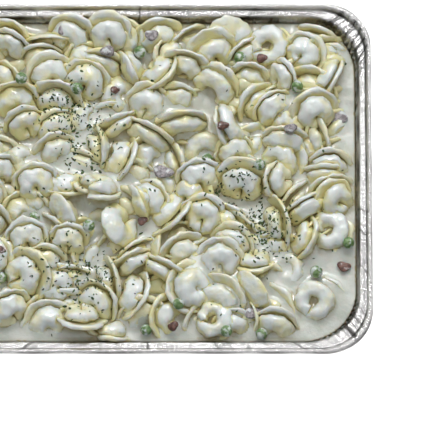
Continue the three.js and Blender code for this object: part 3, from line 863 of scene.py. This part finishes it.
# ---- Herbs ------------------------------------------------------------------

# Sprinkled places as x, y, spread along x and y, and number of flakes.
HERB_PLACES = [
    (-45, 33, 14, 22, 230), (-62, 52, 12, 12, 90), (84, -36, 13, 14, 220), (66, -4, 14, 12, 80),
    (-37, -76, 15, 14, 200), (-70, -60, 16, 18, 70), (0, 0, 120, 90, 160),
]


def herb_mesh(tree):
    points, faces = [], []
    number = 0
    for at_x, at_y, spread_x, spread_y, count in HERB_PLACES:
        for _ in range(count):
            number += 1
            seed = HERB_SEED + number
            far = math.sqrt(-2 * math.log(1 - 0.999 * draw(seed)))
            angle = 6.283 * draw(seed + 0.3)
            x = at_x + spread_x * 0.8 * far * math.cos(angle)
            y = at_y + spread_y * 0.8 * far * math.sin(angle)
            if not placeable(x, y):
                continue
            height, normal = look_down(tree, x, y)
            if height is None or normal.z < 0.25:
                continue
            add_flake(points, faces, Vector((x, y, height)), normal, seed)
    return np.array(points), faces


def add_flake(points, faces, place, normal, seed):
    """A torn scrap of leaf, a little curled, with its faces closed."""
    length = 0.65 + 0.95 * draw(seed + 0.1) ** 1.3
    width = length * (0.32 + 0.33 * draw(seed + 0.2))
    spin = 6.283 * draw(seed + 0.5)
    along = normal.orthogonal().normalized()
    across = normal.cross(along)
    first = len(points)
    sides = 7
    for lift in (0.05, 0.2):
        for k in range(sides):
            angle = k / sides * 6.283
            ragged = 0.75 + 0.5 * draw(seed + 0.7 + k)
            a = length * ragged * math.cos(angle)
            b = width * ragged * math.sin(angle)
            rise = lift + 0.12 * a * a * draw(seed + 0.9)
            at = place + normal * rise
            at += along * (a * math.cos(spin) - b * math.sin(spin))
            at += across * (a * math.sin(spin) + b * math.cos(spin))
            points.append(tuple(at))
    faces.append([first + k for k in range(sides)][::-1])
    faces.append([first + sides + k for k in range(sides)])
    for k in range(sides):
        after = (k + 1) % sides
        faces.append([first + k, first + after, first + sides + after, first + sides + k])


# ---- Materials --------------------------------------------------------------


class Nodes:
    """Short calls for building a material, or the world."""

    def __init__(self, owner):
        self.owner = owner
        owner.use_nodes = True
        self.tree = owner.node_tree

    def link(self, value, socket):
        if isinstance(value, bpy.types.NodeSocket):
            self.tree.links.new(value, socket)
        else:
            socket.default_value = value

    def add(self, kind, inputs=None, **settings):
        node = self.tree.nodes.new(kind)
        for key, value in settings.items():
            setattr(node, key, value)
        for key, value in (inputs or {}).items():
            self.link(value, node.inputs[key])
        return node

    def attribute(self, name):
        return self.add("ShaderNodeAttribute", attribute_name=name).outputs["Fac"]

    def place(self):
        return self.add("ShaderNodeTexCoord").outputs["Object"]

    def noise(self, scale, detail=3, where=None, roughness=0.5):
        inputs = {"Scale": scale, "Detail": detail, "Roughness": roughness}
        node = self.add("ShaderNodeTexNoise", inputs)
        self.link(where or self.place(), node.inputs["Vector"])
        return node.outputs["Fac"]

    def between(self, value, low, high, to_low=0.0, to_high=1.0):
        inputs = {"Value": value, "From Min": low, "From Max": high}
        inputs.update({"To Min": to_low, "To Max": to_high})
        node = self.add("ShaderNodeMapRange", inputs, interpolation_type="SMOOTHSTEP")
        return node.outputs["Result"]

    def maths(self, operation, one, two):
        return self.add("ShaderNodeMath", {0: one, 1: two}, operation=operation).outputs[0]

    def blend(self, share, one, two):
        node = self.add("ShaderNodeMix", data_type="RGBA")
        self.link(share, node.inputs[0])
        self.link(one, node.inputs[6])
        self.link(two, node.inputs[7])
        return node.outputs[2]

    def bump(self, height, strength, distance, normal=None):
        inputs = {"Height": height, "Strength": strength, "Distance": distance}
        node = self.add("ShaderNodeBump", inputs)
        if normal:
            self.link(normal, node.inputs["Normal"])
        return node.outputs["Normal"]

    def finish(self, **values):
        for key, value in values.items():
            self.link(value, self.tree.nodes["Principled BSDF"].inputs[key.replace("_", " ")])
        return self.owner


def material_nodes(name):
    return Nodes(bpy.data.materials.new(name))


def rgb(red, green, blue):
    return (red, green, blue, 1.0)


# Dough and cream colours; the last two dough colours are painted shade, for dough in recesses.
CREAM = rgb(0.60, 0.645, 0.65)
IVORY = rgb(0.66, 0.65, 0.45)
STRAW = rgb(0.66, 0.63, 0.33)
OCHRE_SHADE = rgb(0.60, 0.53, 0.24)
SHADE = rgb(0.32, 0.28, 0.13)


def pasta_material():
    nodes = material_nodes("pasta")
    hidden = nodes.attribute("hidden")
    tone = nodes.attribute("tone")
    share = nodes.attribute("share")
    blotch = nodes.noise(60, 4)
    dough = nodes.blend(nodes.between(nodes.maths("ADD", tone, blotch), 0.6, 1.4), IVORY, STRAW)
    # painted shade: the dough turns ochre, then dark, where nearby food, sauce and foil hide the
    # sky
    dough = nodes.blend(nodes.between(hidden, 0.3, 0.7), dough, OCHRE_SHADE)
    dough = nodes.blend(nodes.between(hidden, 0.65, 0.95), dough, SHADE)
    thin = nodes.maths("MULTIPLY", nodes.between(share, 0.85, 0.98), 0.06)
    open_sky = nodes.maths("MULTIPLY", nodes.maths("ADD", hidden, thin), -0.9)
    patch = nodes.noise(75, 5)
    coat = nodes.between(nodes.maths("ADD", patch, open_sky), 0.25, 0.55)
    colour = nodes.blend(nodes.maths("MULTIPLY", coat, 0.92), dough, CREAM)
    film = nodes.bump(coat, 0.7, 0.0007)
    relief = nodes.bump(nodes.noise(220, 4), 0.5, 0.0013, film)
    fine = nodes.bump(nodes.noise(1400, 3), 0.15, 0.0003, relief)
    rough = nodes.between(nodes.noise(180, 3), 0.3, 0.7, 0.3, 0.5)
    return nodes.finish(Base_Color=colour, Roughness=rough, Normal=fine, Subsurface_Weight=0.2,
                        Subsurface_Scale=0.003, IOR=1.42, Coat_Weight=0.8, Coat_Roughness=0.18)


def sauce_material():
    nodes = material_nodes("sauce")
    hidden = nodes.attribute("hidden")
    tint = nodes.noise(60, 4)
    light = nodes.between(tint, 0.35, 0.65)
    colour = nodes.blend(light, rgb(0.45, 0.47, 0.42), rgb(0.54, 0.56, 0.52))
    # painted shade: the sauce turns dark ochre where nearby food and foil hide the sky
    colour = nodes.blend(nodes.between(hidden, 0.12, 0.6), colour, rgb(0.32, 0.28, 0.14))
    relief = nodes.bump(nodes.noise(150, 5), 0.5, 0.0018)
    fine = nodes.bump(nodes.noise(1500, 3), 0.12, 0.0002, relief)
    return nodes.finish(Base_Color=colour, Roughness=0.32, Normal=fine, Subsurface_Weight=0.25,
                        Subsurface_Scale=0.004, IOR=1.4, Coat_Weight=0.7, Coat_Roughness=0.2)


def foil_material():
    nodes = material_nodes("foil")
    around = nodes.attribute("around")
    along = nodes.attribute("along")
    stretched = nodes.maths("MULTIPLY", along, 0.12)
    where = nodes.add("ShaderNodeCombineXYZ", {"X": around, "Y": stretched})
    streak = nodes.noise(0.45, 4, where.outputs[0], 0.6)
    crush = nodes.noise(420, 4)
    relief = nodes.bump(streak, 1.0, 0.0022)
    fine = nodes.bump(crush, 0.5, 0.0008, relief)
    grain = nodes.blend(nodes.noise(2500, 2), rgb(0.62, 0.61, 0.60), rgb(0.82, 0.82, 0.82))
    # painted shade: the foil turns near black beside the bead, under the ledge and in creases
    colour = nodes.blend(nodes.attribute("dark"), grain, rgb(0.06, 0.055, 0.05))
    return nodes.finish(Base_Color=colour, Metallic=1.0, Roughness=0.16, Normal=fine)


def topping_material(name, dark, light, coat_share, roughness):
    nodes = material_nodes(name)
    mottle = nodes.noise(500, 5)
    colour = nodes.blend(nodes.between(mottle, 0.35, 0.65), dark, light)
    film = nodes.between(nodes.noise(230, 4), 0.62 - coat_share, 0.75 - coat_share)
    colour = nodes.blend(nodes.maths("MULTIPLY", film, 0.8), colour, CREAM)
    relief = nodes.bump(nodes.noise(900, 4), 0.3, 0.0004)
    return nodes.finish(Base_Color=colour, Roughness=roughness, Normal=relief,
                        Subsurface_Weight=0.1, Subsurface_Scale=0.002)


def herb_material():
    nodes = material_nodes("herb")
    light = nodes.between(nodes.noise(400, 2), 0.35, 0.65)
    colour = nodes.blend(light, rgb(0.015, 0.03, 0.01), rgb(0.08, 0.13, 0.04))
    relief = nodes.bump(nodes.noise(3000, 2), 0.3, 0.0002)
    return nodes.finish(Base_Color=colour, Roughness=0.55, Normal=relief)


def floor_material():
    nodes = material_nodes("floor")
    colour = nodes.blend(nodes.noise(3, 2), rgb(0.93, 0.93, 0.93), rgb(0.96, 0.96, 0.96))
    return nodes.finish(Base_Color=colour, Roughness=0.8, Emission_Color=rgb(1, 1, 1),
                        Emission_Strength=0.65)


# ---- Camera, floor and light ------------------------------------------------

FRAME_WIDTH = 302.4
CAMERA_ELEVATION = 71.5
CAMERA_LENS = 500
SENSOR_WIDTH = 36
VIEW_CENTRE = (47.6, -25.9, 62)

# Half side of the floor and everything about the lamps, in metres.
FLOOR_HALF = 3.0


def add_camera():
    data = bpy.data.cameras.new("camera")
    data.lens, data.sensor_width = CAMERA_LENS, SENSOR_WIDTH
    data.clip_end = 100
    camera = bpy.data.objects.new("camera", data)
    bpy.context.collection.objects.link(camera)
    elevation = math.radians(CAMERA_ELEVATION)
    away = Vector((0, -math.cos(elevation), math.sin(elevation)))
    distance = FRAME_WIDTH * MM * CAMERA_LENS / SENSOR_WIDTH
    camera.location = Vector(VIEW_CENTRE) * MM + away * distance
    camera.rotation_euler = (math.pi / 2 - elevation, 0, 0)
    bpy.context.scene.camera = camera


def add_light(name, place, size, power, glints=False):
    """A soft lamp, or one that is seen only as glints on wet food and foil."""
    data = bpy.data.lights.new(name, "AREA")
    data.shape = "RECTANGLE"
    data.size, data.size_y = size
    data.energy = power
    light = bpy.data.objects.new(name, data)
    bpy.context.collection.objects.link(light)
    light.location = place
    light.visible_glossy = glints
    light.visible_diffuse = not glints
    light.rotation_mode = "QUATERNION"
    light.rotation_quaternion = (-Vector(place)).to_track_quat("-Z", "Y")


def add_floor():
    half = FLOOR_HALF
    points = [(-half, -half, 0), (half, -half, 0), (half, half, 0), (-half, half, 0)]
    mesh = bpy.data.meshes.new("floor")
    mesh.from_pydata(points, [], [(0, 1, 2, 3)])
    mesh.materials.append(floor_material())
    floor = bpy.data.objects.new("floor", mesh)
    bpy.context.collection.objects.link(floor)


def add_world():
    """Bright panels to both sides and a window behind, all of them darker low down."""
    nodes = Nodes(bpy.data.worlds.new("studio"))
    where = nodes.add("ShaderNodeTexCoord").outputs["Generated"]
    way = nodes.add("ShaderNodeSeparateXYZ", {0: where}).outputs
    aside = nodes.add("ShaderNodeMath", {0: way["X"]}, operation="ABSOLUTE").outputs[0]
    panels = nodes.maths("MULTIPLY", nodes.between(aside, 0.1, 0.28, 0.04, 1.15),
                         nodes.between(aside, 0.5, 0.75, 1, 0.25))
    window = nodes.between(way["Y"], 0.5, 0.68, 0, 2.5)
    lit = nodes.maths("ADD", panels, window)
    strength = nodes.maths("MULTIPLY", lit, nodes.between(way["Z"], 0.2, 0.6, 0.1, 1))
    background = nodes.tree.nodes["Background"]
    background.inputs["Color"].default_value = rgb(1, 1, 1)
    nodes.link(strength, background.inputs["Strength"])
    bpy.context.scene.world = nodes.owner
    bpy.context.scene.view_settings.view_transform = "Standard"


def add_lights():
    add_light("key", (0.15, 1.0, 1.3), (0.9, 0.9), 9.5)
    add_light("fill", (-0.5, -0.9, 1.3), (1.0, 1.0), 1.2)
    add_light("glints", (0.1, 1.1, 1.6), (0.25, 0.25), 12, glints=True)


# ---- Assembly ---------------------------------------------------------------


def add_pasta(name, mesh, material, replaced, around):
    points, faces, share, tone = mesh
    hidden = shelter(around, points, point_normals(points, faces), SHELTER_DEEPEST)
    attributes = {"share": share, "tone": tone, "hidden": hidden}
    add_mesh(name, points, faces, material, replaced, "pasta", attributes)


def add_all_toppings():
    green = topping_material("pea", rgb(0.07, 0.14, 0.04), rgb(0.18, 0.28, 0.12), 0.14, 0.35)
    grey = topping_material("mushroom", rgb(0.13, 0.115, 0.12), rgb(0.34, 0.315, 0.325), 0.1, 0.5)
    brown = topping_material("ham", rgb(0.06, 0.024, 0.018), rgb(0.17, 0.08, 0.06), 0.05, 0.45)
    add_toppings("pea", pea_points, green, "pea_skin")
    add_toppings("mushroom", slice_points, grey, "mushroom_flesh")
    add_toppings("ham", slice_points, brown, "ham_meat")


def main():
    top_pieces = lay_pasta()
    low_pieces = lay_fillers(top_pieces)
    top = heap_mesh(top_pieces, TOP_STATIONS, TOP_CORNERS)
    low = heap_mesh(low_pieces, LOW_STATIONS, LOW_CORNERS)
    field = Field(SURFACE_STEP)
    sauce = sauce_mesh(field, sauce_heights(field, tree_of(top[:2], low[:2])))
    foil_points, foil_faces, foil_marks = foil_mesh()
    sheltering = tree_of(top[:2], low[:2], sauce, (foil_points, foil_faces))
    pasta = pasta_material()
    add_pasta("tortellini_top", top, pasta, ["tortellini_heap"], sheltering)
    add_pasta("tortellini_low", low, pasta, [], sheltering)
    hidden = shelter(sheltering, sauce[0], point_normals(*sauce), SHELTER_DEEPEST)
    add_mesh("sauce", *sauce, sauce_material(), ["cream_sauce"], "sauce", {"hidden": hidden})
    add_mesh("tray", foil_points, foil_faces, foil_material(), ["foil_tray"], "foil", foil_marks)
    add_all_toppings()
    herb_points, herb_faces = herb_mesh(tree_of(top[:2], low[:2], sauce))
    add_mesh("herbs", herb_points, herb_faces, herb_material(), slot="pea_skin")
    add_camera()
    add_floor()
    add_lights()
    add_world()


main()
